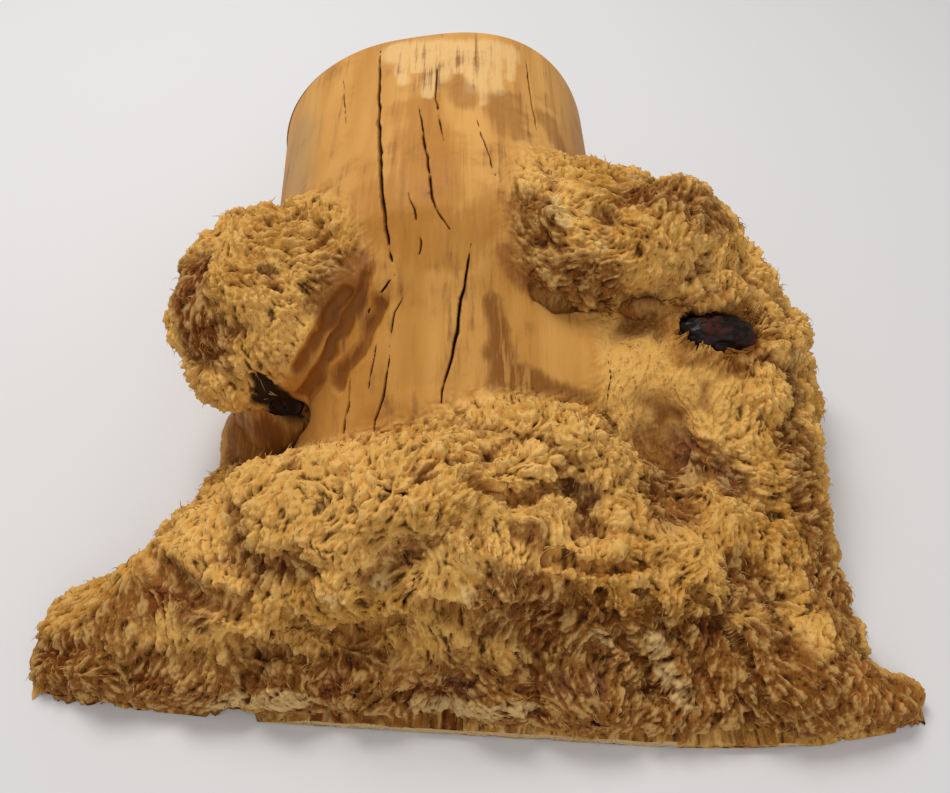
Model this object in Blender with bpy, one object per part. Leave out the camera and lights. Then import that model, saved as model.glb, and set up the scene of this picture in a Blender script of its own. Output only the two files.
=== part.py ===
"""A mallee burl cap: one piece of bare wood, sawn flat underneath, lying on that flat.

A smooth debarked stub of the stem runs back from it, and knobbly burl has grown out in masses
in front of the stub and on both sides of it. Metres, +Z up, -Y the front.
"""

import math

import bmesh
import bpy
import numpy as np
from mathutils import Matrix, Vector

# The forms below are measured from the middle of the front edge, at table level.
# The part's origin is this point on the sawn base.
ORIGIN = Vector((-0.002, 0.160, 0.0))

# Stem stub: a log of oval section, squared off where it meets the burl and sawn at the back.
STEM_FRONT = Vector((-0.016, 0.172, 0.054))
STEM_BACK = Vector((-0.026, 0.372, 0.054))
STEM_HALF_WIDTH_FRONT = 0.083
STEM_HALF_WIDTH_BACK = 0.090
STEM_FLATTEN = 0.865
STEM_BROW = 0.030
STEM_SAWN_Y = 0.331
STEM_SAWN_LEAN = math.radians(4)

# Blobs of the form: name, centre, radii, turn about Z in degrees, roughness, blend width.
BLOBS = (
    ("apron", (0.002, 0.150, 0.018), (0.088, 0.065, 0.072), 0, 0.0, 0.016),
    ("right_field", (0.090, 0.148, 0.016), (0.069, 0.062, 0.066), 0, 1.0, 0.020),
    ("left_lump", (-0.093, 0.168, 0.070), (0.046, 0.050, 0.045), 0, 1.0, 0.010),
    ("left_lump_top", (-0.067, 0.178, 0.092), (0.030, 0.034, 0.024), 0, 1.0, 0.006),
    ("brown_lobe", (-0.098, 0.137, 0.012), (0.027, 0.025, 0.026), 0, 0.3, 0.010),
    ("right_lump", (0.050, 0.195, 0.098), (0.055, 0.037, 0.029), -8, 1.0, 0.006),
    ("right_back", (0.098, 0.165, 0.015), (0.066, 0.060, 0.070), 0, 1.0, 0.020),
    ("second_mass", (0.022, 0.090, 0.050), (0.050, 0.028, 0.036), -6, 1.0, 0.007),
    ("core", (0.000, 0.075, 0.000), (0.150, 0.066, 0.050), 0, 1.0, 0.020),
    ("tier_left", (-0.094, 0.047, 0.034), (0.030, 0.022, 0.018), 25, 1.0, 0.008),
    ("tier_middle", (-0.046, 0.049, 0.044), (0.028, 0.022, 0.019), 0, 1.0, 0.008),
    ("tier_right", (0.004, 0.046, 0.043), (0.023, 0.022, 0.019), 0, 1.0, 0.008),
    ("low_left", (-0.124, 0.033, 0.008), (0.036, 0.022, 0.020), 8, 1.0, 0.010),
    ("low_middle", (-0.055, 0.026, 0.008), (0.040, 0.024, 0.021), 2, 1.0, 0.010),
    ("low_right", (0.022, 0.019, 0.008), (0.034, 0.024, 0.020), 0, 1.0, 0.010),
    ("right_corner", (0.160, 0.012, 0.002), (0.020, 0.014, 0.013), 0, 0.6, 0.003),
)

# Limbs of the form: name, start, its radius, end, its radius, roughness, blend width.
LIMBS = (
    ("neck", (-0.018, 0.196, 0.060), 0.069, (-0.012, 0.128, 0.038), 0.043, 0.0, 0.016),
    ("left_apron", (-0.035, 0.150, 0.050), 0.038, (-0.052, 0.106, 0.022), 0.034, 0.0, 0.014),
    ("stem_rib", (0.004, 0.215, 0.082), 0.044, (0.006, 0.380, 0.084), 0.047, 0.0, 0.020),
    ("upper_flute", (-0.046, 0.160, 0.096), 0.013, (-0.078, 0.138, 0.046), 0.012, 0.0, 0.006),
    ("lower_flute", (-0.040, 0.149, 0.084), 0.011, (-0.069, 0.125, 0.040), 0.010, 0.0, 0.006),
    ("shoulder", (0.088, 0.188, 0.092), 0.031, (0.140, 0.184, 0.036), 0.026, 1.0, 0.016),
    ("right_ramp", (0.100, 0.034, 0.004), 0.030, (0.104, 0.142, 0.046), 0.036, 1.0, 0.020),
    ("right_side", (0.132, 0.044, 0.004), 0.026, (0.122, 0.154, 0.032), 0.028, 1.0, 0.018),
    ("left_ridge", (-0.068, 0.068, 0.045), 0.032, (-0.018, 0.066, 0.055), 0.034, 1.0, 0.010),
    ("left_spur", (-0.082, 0.063, 0.032), 0.030, (-0.168, 0.034, -0.001), 0.021, 1.0, 0.014),
    ("front_ridge", (-0.006, 0.058, 0.040), 0.031, (0.076, 0.053, 0.026), 0.032, 1.0, 0.016),
    ("front_roll", (-0.156, 0.034, 0.001), 0.023, (0.130, 0.019, 0.002), 0.026, 1.0, 0.014),
)

# Hollows in the form: name, centre, radii, turn about Z in degrees, blend width.
HOLLOWS = (
    ("resin_pocket", (0.108, 0.143, 0.080), (0.017, 0.011, 0.012), 0, 0.004),
    ("valley", (0.080, 0.088, 0.066), (0.010, 0.026, 0.014), 8, 0.014),
    ("under_lump", (-0.089, 0.138, 0.042), (0.022, 0.026, 0.017), 0, 0.006),
    ("corner_notch", (0.173, 0.031, 0.008), (0.010, 0.007, 0.024), 0, 0.003),
)

# The front is sawn off square along this line, given in plan from left to right.
FRONT_SAW = (
    (-0.200, 0.015), (-0.140, 0.010), (-0.084, 0.0045), (0.021, -0.002), (0.097, -0.0065),
    (0.136, -0.0045), (0.200, 0.006),
)

# Relief of the burl: knobs as wide as a cell, raised this much, over slower swells.
KNOB_CELL = 0.021
KNOB_HEIGHT = 0.0110
KNOB_MIDDLE = 0.35
SWELL_CELL = 0.052
SWELL_HEIGHT = 0.0080
KNOB_SALT, SWELL_SALT = 3, 5
# Burl gives way to bare stem over about this width, and the relief dies down this near a hollow.
ROUGH_FADE = 0.004
CALM = 0.012

# How finely the skin is drawn over the rough shapes, and how it is landed on the blended form.
VOXEL = 0.0042
GRADIENT_STEP = 0.0006
LANDINGS = 4
LEAST_STEEPNESS = 0.2
MOST_TRIANGLES = 11600
CUTTER_REACH = 0.5
BASE_SNAP = 0.0006

# How finely the rough shapes are drawn under that skin.
BALL_SUBDIVISIONS = 4
LIMB_SIDES = 40
STEM_SIDES = 64

# Further than any seed can be, in cells, and a number too small to matter.
FAR = 9.0
TINY = 1e-9

# Large numbers that scramble a cell's place, and how much of the result is kept.
HASH_X, HASH_Y, HASH_Z, HASH_SALT = 73856093, 19349663, 83492791, 2654435761
HASH_TIMES, HASH_PLUS = 6364136223846793005, 1442695040888963407
HASH_MOST = 0x7FFFFFFFFFFFFFFF
HASH_DROP = 24
HASH_RANGE = 0x1000000

WOOD_COLOUR = (0.50, 0.27, 0.09, 1)
WOOD_ROUGHNESS = 0.75


def hash_cells(cells, salt):
    """Three numbers from 0 to 1 for each whole-numbered cell, always the same for that cell."""
    a = cells.astype(np.int64)
    mixed = a[:, 0] * HASH_X ^ a[:, 1] * HASH_Y ^ a[:, 2] * HASH_Z ^ (salt * HASH_SALT)
    out = []
    for turn in range(3):
        mixed = (mixed * HASH_TIMES + HASH_PLUS + turn) & HASH_MOST
        out.append(((mixed >> HASH_DROP) & (HASH_RANGE - 1)) / float(HASH_RANGE))
    return np.stack(out, axis=1)


def seed_distance(points, cell, salt):
    """Distance from each point to the nearest of the scattered knob seeds, in cells."""
    scaled = points / cell
    home = np.floor(scaled)
    nearest = np.full(len(points), FAR)
    for dx in (-1, 0, 1):
        for dy in (-1, 0, 1):
            for dz in (-1, 0, 1):
                cells = home + (dx, dy, dz)
                gap = np.linalg.norm(cells + hash_cells(cells, salt) - scaled, axis=1)
                nearest = np.minimum(nearest, gap)
    return nearest


def swell(points, cell, salt):
    """Smooth noise from 0 to 1 that changes over about one cell."""
    scaled = points / cell
    home = np.floor(scaled)
    part = scaled - home
    ease = part * part * (3 - 2 * part)
    total = np.zeros(len(points))
    for corner in np.ndindex(2, 2, 2):
        share = np.prod(np.where(np.array(corner) == 1, ease, 1 - ease), axis=1)
        total += share * hash_cells(home + corner, salt)[:, 0]
    return total


def blob_gap(points, centre, radii, turn):
    local = (points - centre) @ np.array(Matrix.Rotation(math.radians(turn), 3, "Z"))
    scaled = np.linalg.norm(local / radii, axis=1)
    slope = np.linalg.norm(local / np.square(radii), axis=1) + TINY
    return scaled * (scaled - 1) / slope


def limb_gap(points, start, start_radius, end, end_radius):
    axis = np.subtract(end, start)
    along = np.clip((points - start) @ axis / (axis @ axis), 0, 1)
    radius = start_radius + (end_radius - start_radius) * along
    return np.linalg.norm(points - start - along[:, None] * axis, axis=1) - radius


def stem_gap(points):
    start, end = np.array(STEM_FRONT), np.array(STEM_BACK)
    axis = (end - start) / np.linalg.norm(end - start)
    away = points - start
    along = away @ axis
    side = away - along[:, None] * axis
    side[:, 2] /= STEM_FLATTEN
    share = np.clip(along / np.linalg.norm(end - start), 0, 1)
    radius = STEM_HALF_WIDTH_FRONT + (STEM_HALF_WIDTH_BACK - STEM_HALF_WIDTH_FRONT) * share
    out = np.linalg.norm(side, axis=1) - radius + STEM_BROW
    past = np.maximum(-along, along - np.linalg.norm(end - start)) + STEM_BROW
    outside = np.hypot(np.maximum(out, 0), np.maximum(past, 0))
    return np.minimum(np.maximum(out, past), 0) + outside - STEM_BROW


def form(points):
    """Signed distance to the blended form, and from 0 to 1 how much of it there is burl."""
    gap = stem_gap(points)
    gaps, rough = [gap], [0.0]
    for _, centre, radii, turn, roughness, blend in BLOBS:
        gaps.append(blob_gap(points, np.array(centre), np.array(radii), turn))
        rough.append(roughness)
        gap = join(gap, gaps[-1], blend)
    for _, start, start_radius, end, end_radius, roughness, blend in LIMBS:
        gaps.append(limb_gap(points, np.array(start), start_radius, np.array(end), end_radius))
        rough.append(roughness)
        gap = join(gap, gaps[-1], blend)
    share = np.exp(-(np.array(gaps) - np.min(gaps, axis=0)) / ROUGH_FADE)
    burl = (share * np.array(rough)[:, None]).sum(axis=0) / share.sum(axis=0)
    for _, centre, radii, turn, blend in HOLLOWS:
        hollow = blob_gap(points, np.array(centre), np.array(radii), turn)
        gap = -join(-gap, hollow, blend)
        burl *= np.clip(hollow / CALM, 0, 1)
    return gap, burl


def join(one, other, blend):
    """The two distances as one, with the crease between them rounded over the blend width."""
    share = np.clip(0.5 + 0.5 * (one - other) / blend, 0, 1)
    return one * (1 - share) + other * share - blend * share * (1 - share)


def normals_of(points):
    """Gradient of the form, worked out by small steps each way."""
    slope = np.empty_like(points)
    for i in range(3):
        step = np.zeros(3)
        step[i] = GRADIENT_STEP
        slope[:, i] = form(points + step)[0] - form(points - step)[0]
    return slope / (2 * GRADIENT_STEP)


def land(points):
    """The points moved onto the form's surface."""
    for _ in range(LANDINGS):
        slope = normals_of(points)
        steep = np.maximum((slope * slope).sum(axis=1), LEAST_STEEPNESS)
        points = points - slope * (form(points)[0] / steep)[:, None]
    return points


def raise_relief(points):
    """Knobs and swells raised on the burl, and none on the bare stem."""
    slope = normals_of(points)
    normal = slope / np.maximum(np.linalg.norm(slope, axis=1), TINY)[:, None]
    rough = form(points)[1]
    away = np.minimum(seed_distance(points, KNOB_CELL, KNOB_SALT), 1)
    height = KNOB_HEIGHT * (KNOB_MIDDLE - away**2)
    height += SWELL_HEIGHT * (swell(points, SWELL_CELL, SWELL_SALT) - 0.5)
    return points + normal * (height * rough)[:, None]


def mesh_object(name, bm):
    mesh = bpy.data.meshes.new(name)
    bm.to_mesh(mesh)
    bm.free()
    obj = bpy.data.objects.new(name, mesh)
    bpy.context.scene.collection.objects.link(obj)
    return obj


def rough_out():
    """One mesh holding a ball for each blob, a rounded cone for each limb, and the stem's log."""
    bm = bmesh.new()
    for _, centre, radii, turn, _, _ in BLOBS:
        place = Matrix.Translation(centre) @ Matrix.Rotation(math.radians(turn), 4, "Z")
        place = place @ Matrix.Diagonal((*radii, 1))
        bmesh.ops.create_icosphere(bm, subdivisions=BALL_SUBDIVISIONS, radius=1, matrix=place)
    for _, start, start_radius, end, end_radius, _, _ in LIMBS:
        away = Vector(end) - Vector(start)
        turn = away.to_track_quat("Z", "Y").to_matrix().to_4x4()
        middle = Matrix.Translation((Vector(start) + Vector(end)) / 2) @ turn
        bmesh.ops.create_cone(
            bm, cap_ends=True, segments=LIMB_SIDES, radius1=start_radius, radius2=end_radius,
            depth=away.length, matrix=middle,
        )
        for centre, radius in ((start, start_radius), (end, end_radius)):
            place = Matrix.Translation(centre) @ Matrix.Scale(radius, 4)
            bmesh.ops.create_icosphere(bm, subdivisions=BALL_SUBDIVISIONS, radius=1, matrix=place)
    away = STEM_BACK - STEM_FRONT
    turn = away.to_track_quat("Z", "Y").to_matrix().to_4x4()
    flatten = Matrix.Diagonal((1, 1, STEM_FLATTEN, 1))
    middle = Matrix.Translation((STEM_BACK + STEM_FRONT) / 2) @ flatten @ turn
    bmesh.ops.create_cone(
        bm, cap_ends=True, segments=STEM_SIDES, radius1=STEM_HALF_WIDTH_FRONT,
        radius2=STEM_HALF_WIDTH_BACK, depth=away.length, matrix=middle,
    )
    return mesh_object("burl_cap", bm)


def apply_modifiers(obj):
    bpy.context.view_layer.update()
    graph = bpy.context.evaluated_depsgraph_get()
    mesh = bpy.data.meshes.new_from_object(obj.evaluated_get(graph))
    obj.modifiers.clear()
    obj.data = mesh


def read_points(mesh):
    points = np.empty(len(mesh.vertices) * 3)
    mesh.vertices.foreach_get("co", points)
    return points.reshape(-1, 3)


def write_points(mesh, points):
    mesh.vertices.foreach_set("co", points.ravel())
    mesh.update()


def grow(obj):
    """One skin over all the rough shapes, landed on the blended form and given its relief."""
    skin = obj.modifiers.new("skin", "REMESH")
    skin.mode = "VOXEL"
    skin.voxel_size = VOXEL
    apply_modifiers(obj)
    write_points(obj.data, raise_relief(land(read_points(obj.data))))


def box_cutter(name, corner, size):
    bm = bmesh.new()
    place = Matrix.Translation(Vector(corner) + Vector(size) / 2) @ Matrix.Diagonal((*size, 1))
    bmesh.ops.create_cube(bm, size=1, matrix=place)
    return mesh_object(name, bm)


def front_cutter():
    """A wall that stands in front of the saw line."""
    left, right = FRONT_SAW[0][0], FRONT_SAW[-1][0]
    outline = [(left, -CUTTER_REACH), (right, -CUTTER_REACH), *reversed(FRONT_SAW)]
    bm = bmesh.new()
    low = [bm.verts.new((x, y, -CUTTER_REACH)) for x, y in outline]
    floor = bm.faces.new(low)
    made = bmesh.ops.extrude_face_region(bm, geom=[floor])["geom"]
    top = [v for v in made if isinstance(v, bmesh.types.BMVert)]
    bmesh.ops.translate(bm, verts=top, vec=(0, 0, 2 * CUTTER_REACH))
    bmesh.ops.recalc_face_normals(bm, faces=bm.faces)
    return mesh_object("front_cutter", bm)


def saw(obj, cutter):
    cut = obj.modifiers.new("saw", "BOOLEAN")
    cut.operation = "DIFFERENCE"
    cut.solver = "EXACT"
    cut.object = cutter
    apply_modifiers(obj)
    bpy.data.objects.remove(cutter)


def keep_largest(obj):
    """Drops any crumb that a saw cut left loose."""
    bm = bmesh.new()
    bm.from_mesh(obj.data)
    left = set(bm.verts)
    groups = []
    while left:
        group, edge = set(), [next(iter(left))]
        while edge:
            vert = edge.pop()
            if vert in group:
                continue
            group.add(vert)
            edge.extend(e.other_vert(vert) for e in vert.link_edges)
        left -= group
        groups.append(group)
    groups.sort(key=len)
    for group in groups[:-1]:
        bmesh.ops.delete(bm, geom=list(group), context="VERTS")
    bmesh.ops.triangulate(bm, faces=bm.faces)
    bm.to_mesh(obj.data)
    bm.free()


def lighten(obj):
    """Fewer triangles, with the base kept exactly flat."""
    thin = obj.modifiers.new("thin", "DECIMATE")
    thin.ratio = MOST_TRIANGLES / len(obj.data.polygons)
    apply_modifiers(obj)
    points = read_points(obj.data)
    points[np.abs(points[:, 2]) < BASE_SNAP, 2] = 0
    write_points(obj.data, points - np.array(ORIGIN))


def wood():
    material = bpy.data.materials.new("burl_wood")
    material.use_nodes = True
    shader = material.node_tree.nodes["Principled BSDF"]
    shader.inputs["Base Color"].default_value = WOOD_COLOUR
    shader.inputs["Roughness"].default_value = WOOD_ROUGHNESS
    return material


def main():
    for obj in list(bpy.data.objects):
        bpy.data.objects.remove(obj)
    cap = rough_out()
    grow(cap)
    reach = CUTTER_REACH
    saw(cap, box_cutter("base_cutter", (-reach, -reach, -reach), (2 * reach, 2 * reach, reach)))
    saw(cap, front_cutter())
    back = box_cutter("back_cutter", (-reach, 0, -reach), (2 * reach, reach, 2 * reach))
    back.data.transform(Matrix.Rotation(STEM_SAWN_LEAN, 4, "X"))
    back.data.transform(Matrix.Translation((0, STEM_SAWN_Y, 0)))
    saw(cap, back)
    keep_largest(cap)
    lighten(cap)
    cap.data.materials.append(wood())
    for face in cap.data.polygons:
        face.use_smooth = True


main()
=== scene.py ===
"""Looks of the mallee burl cap: tufted burl, a bare cracked stem stub and sawn faces.

The skin is grown from the same named forms as the CAD solid, drawn much finer, and given the
nodules, fibre tufts, cracks and stains that the wood shows. Metres, +Z up, -Y the front.
"""

import math

import bmesh
import bpy
import numpy as np
from mathutils import Euler, Matrix, Vector
from mathutils.bvhtree import BVHTree


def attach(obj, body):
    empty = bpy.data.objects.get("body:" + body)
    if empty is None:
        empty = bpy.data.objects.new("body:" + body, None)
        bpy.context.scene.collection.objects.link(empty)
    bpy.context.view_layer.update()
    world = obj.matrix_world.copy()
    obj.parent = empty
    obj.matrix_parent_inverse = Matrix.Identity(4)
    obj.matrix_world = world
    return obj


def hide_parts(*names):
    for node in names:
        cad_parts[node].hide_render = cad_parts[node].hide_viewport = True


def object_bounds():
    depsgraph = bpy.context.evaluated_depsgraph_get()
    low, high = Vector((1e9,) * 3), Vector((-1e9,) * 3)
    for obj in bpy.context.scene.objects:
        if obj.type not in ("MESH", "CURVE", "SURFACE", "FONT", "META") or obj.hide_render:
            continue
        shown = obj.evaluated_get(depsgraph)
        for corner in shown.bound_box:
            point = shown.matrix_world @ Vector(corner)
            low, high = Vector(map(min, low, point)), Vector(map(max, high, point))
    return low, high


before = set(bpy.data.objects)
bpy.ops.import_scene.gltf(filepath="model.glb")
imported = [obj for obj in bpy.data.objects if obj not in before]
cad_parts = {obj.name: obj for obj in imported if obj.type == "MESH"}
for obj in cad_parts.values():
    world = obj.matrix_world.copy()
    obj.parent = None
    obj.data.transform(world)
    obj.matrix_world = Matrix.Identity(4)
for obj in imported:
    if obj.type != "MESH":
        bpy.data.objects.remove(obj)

CAD_LOW, CAD_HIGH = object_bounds()

# The forms below are measured from the middle of the front edge, at table level.
# The CAD model's origin is this point on the sawn base.
ORIGIN = Vector((-0.002, 0.160, 0.0))
ORIGIN_POINT = np.array(ORIGIN)

# The photograph's frame and its camera, in the forms' own frame.
PHOTO_WIDTH, PHOTO_HEIGHT = 950, 793
FOCAL_PIXELS = 850
CAMERA_PLACE = Vector((0.0, -0.126, 0.340))
CAMERA_POINT = np.array(CAMERA_PLACE)
CAMERA_TILT = math.radians(42)
SENSOR_WIDTH = 36.0
USUAL_SIGHT = 0.42

# Stem stub: a log of oval section, squared off where it meets the burl and sawn at the back.
STEM_FRONT = Vector((-0.016, 0.172, 0.054))
STEM_BACK = Vector((-0.026, 0.372, 0.054))
STEM_HALF_WIDTH_FRONT = 0.083
STEM_HALF_WIDTH_BACK = 0.090
STEM_FLATTEN = 0.865
STEM_BROW = 0.030
STEM_SAWN_Y = 0.331
STEM_SAWN_LEAN = math.radians(4)

# Blobs of the form: name, centre, radii, turn about Z in degrees, roughness, blend width.
BLOBS = (
    ("apron", (0.002, 0.150, 0.018), (0.088, 0.065, 0.072), 0, 0.0, 0.016),
    ("right_field", (0.090, 0.148, 0.016), (0.069, 0.062, 0.066), 0, 1.0, 0.020),
    ("left_lump", (-0.093, 0.168, 0.070), (0.046, 0.050, 0.045), 0, 1.0, 0.010),
    ("left_lump_top", (-0.067, 0.178, 0.092), (0.030, 0.034, 0.024), 0, 1.0, 0.006),
    ("brown_lobe", (-0.098, 0.137, 0.012), (0.027, 0.025, 0.026), 0, 0.3, 0.010),
    ("right_lump", (0.050, 0.195, 0.098), (0.055, 0.037, 0.029), -8, 1.0, 0.006),
    ("right_back", (0.098, 0.165, 0.015), (0.066, 0.060, 0.070), 0, 1.0, 0.020),
    ("second_mass", (0.022, 0.090, 0.050), (0.050, 0.028, 0.036), -6, 1.0, 0.007),
    ("core", (0.000, 0.075, 0.000), (0.150, 0.066, 0.050), 0, 1.0, 0.020),
    ("tier_left", (-0.094, 0.047, 0.034), (0.030, 0.022, 0.018), 25, 1.0, 0.008),
    ("tier_middle", (-0.046, 0.049, 0.044), (0.028, 0.022, 0.019), 0, 1.0, 0.008),
    ("tier_right", (0.004, 0.046, 0.043), (0.023, 0.022, 0.019), 0, 1.0, 0.008),
    ("low_left", (-0.124, 0.033, 0.008), (0.036, 0.022, 0.020), 8, 1.0, 0.010),
    ("low_middle", (-0.055, 0.026, 0.008), (0.040, 0.024, 0.021), 2, 1.0, 0.010),
    ("low_right", (0.022, 0.019, 0.008), (0.034, 0.024, 0.020), 0, 1.0, 0.010),
    ("right_corner", (0.160, 0.012, 0.002), (0.020, 0.014, 0.013), 0, 0.6, 0.003),
)

# Limbs of the form: name, start, its radius, end, its radius, roughness, blend width.
LIMBS = (
    ("neck", (-0.018, 0.196, 0.060), 0.069, (-0.012, 0.128, 0.038), 0.043, 0.0, 0.016),
    ("left_apron", (-0.035, 0.150, 0.050), 0.038, (-0.052, 0.106, 0.022), 0.034, 0.0, 0.014),
    ("stem_rib", (0.004, 0.215, 0.082), 0.044, (0.006, 0.380, 0.084), 0.047, 0.0, 0.020),
    ("upper_flute", (-0.046, 0.160, 0.096), 0.013, (-0.078, 0.138, 0.046), 0.012, 0.0, 0.006),
    ("lower_flute", (-0.040, 0.149, 0.084), 0.011, (-0.069, 0.125, 0.040), 0.010, 0.0, 0.006),
    ("shoulder", (0.088, 0.188, 0.092), 0.031, (0.140, 0.184, 0.036), 0.026, 1.0, 0.016),
    ("right_ramp", (0.100, 0.034, 0.004), 0.030, (0.104, 0.142, 0.046), 0.036, 1.0, 0.020),
    ("right_side", (0.132, 0.044, 0.004), 0.026, (0.122, 0.154, 0.032), 0.028, 1.0, 0.018),
    ("left_ridge", (-0.068, 0.068, 0.045), 0.032, (-0.018, 0.066, 0.055), 0.034, 1.0, 0.010),
    ("left_spur", (-0.082, 0.063, 0.032), 0.030, (-0.168, 0.034, -0.001), 0.021, 1.0, 0.014),
    ("front_ridge", (-0.006, 0.058, 0.040), 0.031, (0.076, 0.053, 0.026), 0.032, 1.0, 0.016),
    ("front_roll", (-0.156, 0.034, 0.001), 0.023, (0.130, 0.019, 0.002), 0.026, 1.0, 0.014),
)

# Hollows in the form: name, centre, radii, turn about Z in degrees, blend width, and how far
# from the hollow the burl's relief dies down.
HOLLOWS = (
    ("resin_pocket", (0.108, 0.143, 0.080), (0.017, 0.011, 0.012), 0, 0.004, 0.002),
    ("valley", (0.080, 0.088, 0.066), (0.010, 0.026, 0.014), 8, 0.014, 0.001),
    ("under_lump", (-0.089, 0.138, 0.042), (0.022, 0.026, 0.017), 0, 0.006, 0.012),
    ("corner_notch", (0.173, 0.031, 0.008), (0.010, 0.007, 0.024), 0, 0.003, 0.004),
)

# The front is sawn off square along this line, given in plan from left to right.
FRONT_SAW = (
    (-0.200, 0.015), (-0.140, 0.010), (-0.084, 0.0045), (0.021, -0.002), (0.097, -0.0065),
    (0.136, -0.0045), (0.200, 0.006),
)

# Relief that the CAD solid has too: knobs as wide as a cell, over slower swells.
KNOB_CELL, KNOB_HEIGHT, KNOB_MIDDLE, KNOB_SALT = 0.021, 0.0110, 0.35, 3
SWELL_CELL, SWELL_HEIGHT, SWELL_SALT = 0.052, 0.0080, 5
# Where two named forms meet, the roughness of one gives way to the other's over this far.
ROUGH_FADE = 0.004

# Finer relief: nodules on the knobs, grains on the nodules, and fibres combed along the flow.
NODULE_CELL, NODULE_HEIGHT, NODULE_STRETCH, NODULE_SALT = 0.0090, 0.0027, 1.2, 11
GRAIN_CELL, GRAIN_HEIGHT, GRAIN_STRETCH, GRAIN_SALT = 0.0026, 0.0014, 1.4, 13
NODULE_SEAM, NODULE_SEAM_WIDTH = 0.35, 0.25
GRAIN_SEAM, GRAIN_SEAM_WIDTH = 0.4, 0.3
TUFT_CELL, TUFT_REACH, TUFT_HEIGHT, TUFT_SALT = 0.0017, 0.0026, 0.0012, 17
HAIR_CELL, HAIR_REACH, HAIR_HEIGHT, HAIR_SALT = 0.0011, 0.0021, 0.0009, 19
SMEARS = 7
SMEAR_CONTRAST = 5.5
# Tips lean down the flow, and the whole is sunk to make room for the relief.
LEAN, LEAN_START, LEAN_END, LEAN_TUFT = 0.20, 0.4, 1.3, 0.5
FINE_SINK = 0.0037
# How near a tip each point is: a sum of the reliefs, evened out in calm places.
# From how near a tip each point is, the burl's colour takes a painted highlight on tips and painted shade
# in crevices.
TIP_NODULE, TIP_GRAIN, TIP_TUFT, TIP_HAIR, TIP_DROP = 0.30, 0.20, 0.28, 0.30, 0.02
CALM_TIP, CALM_SHARE = 0.58, 0.7
# From this share of a knob cell to that, the burl is darkened towards umber: painted shade in the dips
# between knobs, over brown tone.
DIP_START, DIP_END = 0.35, 0.95

# Nodules wander off their even spacing, and give way to combed felt in some places.
WANDER_CELL, WANDER, WANDER_SALT = 0.0110, 0.0060, 37
FELT_CELL, FELT_SALT = 0.0300, 47
FELT_START, FELT_END, FELT_SMOOTH = 0.56, 0.74, 0.7

# Above the strip, the burl's front stays behind the saw cut by about this much.
SETBACK, SETBACK_REACH, SETBACK_MOST = 0.0030, 8, 30

# The way fibres lie: down the slope, with a slow swirl.
DOWNHILL = np.array((0.05, -0.40, -1.0))
SWIRL_CELL, SWIRL_SHARE, SWIRL_SALT = 0.021, 0.80, 31

# The clean sawn strip along the front edge: its height, and where along X it starts and ends.
STRIP_HEIGHT = 0.0052
STRIP_START, STRIP_END, STRIP_FADE = -0.094, 0.146, 0.030
STRIP_CELL, STRIP_LEAST, STRIP_MORE, STRIP_SALT = 0.011, 0.65, 0.7, 23
STRIP_EDGE, STRIP_REACH, STRIP_FACING = (-0.0010, 0.0002), 0.012, -0.2

# The middle of the growth rings, seen on the stem's sawn end.
PITH = Vector((-0.026, 0.331, 0.058))

# How finely the skin is drawn. Its edges are one voxel long, then halved up to three times: on all
# free skin, on burl that faces the camera and beside cracks, and at the cracks themselves.
VOXEL = 0.0026
BALL_FINENESS, LIMB_SIDES, STEM_SIDES = 4, 40, 64
FREE_SHARE, BURL_SHARE, FACING = 0.3, 0.15, -0.03
CRACK_BAND, CRACK_EDGE = 0.0020, 0.0011
# The skin is moved onto the form in a few steps, down a slope measured over a short distance.
LANDINGS, GRADIENT_STEP, LEAST_STEEPNESS = 3, 0.0006, 0.2
# Relief dies down over this depth inside the form, so that the saw cuts stay flat.
SKIN_DEPTH = 0.006
SOFTENINGS = 3

# Cracks wander, narrow towards their ends, and have walls and edges darkened with painted shade, as shares
# of the width.
CRACK_WANDER_CELL, CRACK_WANDER, CRACK_SALT = 0.0060, 0.0012, 29
CRACK_END, CRACK_LEAST, CRACK_MORE = 0.04, 0.45, 0.75
CRACK_WALL, CRACK_SHADE = (0.4, 1.6), (0.6, 1.8)

# Further off than anything here, and sizes too small to matter.
FAR = 9.0
TINY, NOTHING, FLAT = 1e-9, 1e-12, 1e-6

# Whole numbers that scatter the cells of the noises.
HASH_X, HASH_Y, HASH_Z, HASH_SALT = 73856093, 19349663, 83492791, 2654435761
HASH_TIMES, HASH_PLUS, HASH_MOST = 6364136223846793005, 1442695040888963407, 0x7FFFFFFFFFFFFFFF
HASH_DROP, HASH_RANGE = 24, 0x1000000

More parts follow.
